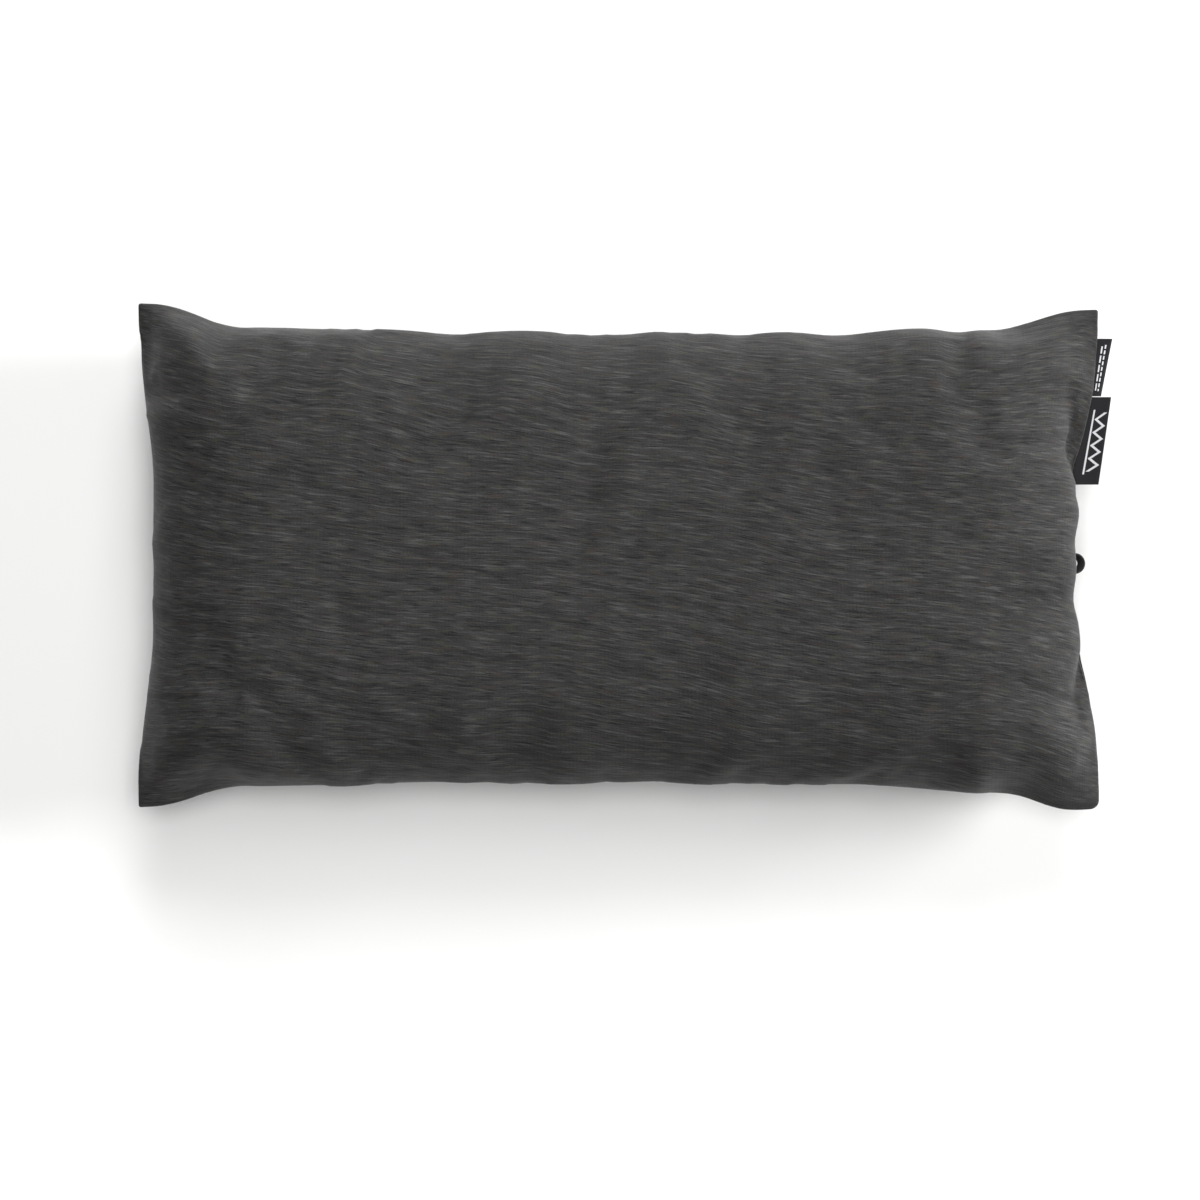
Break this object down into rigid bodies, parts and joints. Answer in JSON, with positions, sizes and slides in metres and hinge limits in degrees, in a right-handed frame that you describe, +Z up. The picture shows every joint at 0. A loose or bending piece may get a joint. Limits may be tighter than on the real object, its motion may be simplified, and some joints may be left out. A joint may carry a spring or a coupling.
{
  "type": "camp pillow",
  "caption": "Inflatable camp pillow in a sewn knit cover with flat ears, an envelope back, two seam labels and an end valve with a flip cap on a pull loop.",
  "frame": {"origin": "the middle of the underside's flat resting patch, midway between the ends and between the sides, on the surface the pillow lies on", "axes": "+X along the pillow's length, towards the end with the valve and the labels; +Y across it, towards the side that the labels are next to; +Z up, out of the sleeping face"},
  "size_m": [0.5645, 0.294, 0.1],
  "materials": {
    "jersey": "heather slub knit, matt",
    "insulation": "polyester batting",
    "lining": "light woven lining",
    "bladder_film": "polyurethane film, satin",
    "soft_valve": "moulded soft urethane, satin",
    "hard_valve": "moulded plastic, satin",
    "silicone": "silicone, satin",
    "pull_tape": "woven tape",
    "label_weave": "woven satin"
  },
  "bodies": {
    "pillow": {"cover_top_panel": "jersey", "cover_bottom_panel": "jersey", "cover_underlap": "jersey", "insulation_pad": "insulation", "insulation_lining": "lining", "bladder_top_sheet": "bladder_film", "bladder_bottom_sheet": "bladder_film", "baffle_beam_1": "bladder_film", "baffle_beam_2": "bladder_film", "baffle_beam_3": "bladder_film", "valve_port": "soft_valve", "valve_seat": "hard_valve", "label_large": "label_weave", "label_small": "label_weave"},
    "cap": {"valve_cap": "soft_valve", "cap_pull_loop": "pull_tape"},
    "button": {"valve_button": "silicone"}
  },
  "joints": [
    {"name": "cap_hinge", "type": "hinge", "parent": "pillow", "child": "cap", "pos_m": [0.2607, -0.005, 0.031], "axis": [0, 1, 0], "range_deg": [0, 90]},
    {"name": "button_press", "type": "slide", "parent": "pillow", "child": "button", "axis": [-1, 0, 0], "range_m": [0, 0.0025], "stiffness_N_per_m": 400}
  ]
}
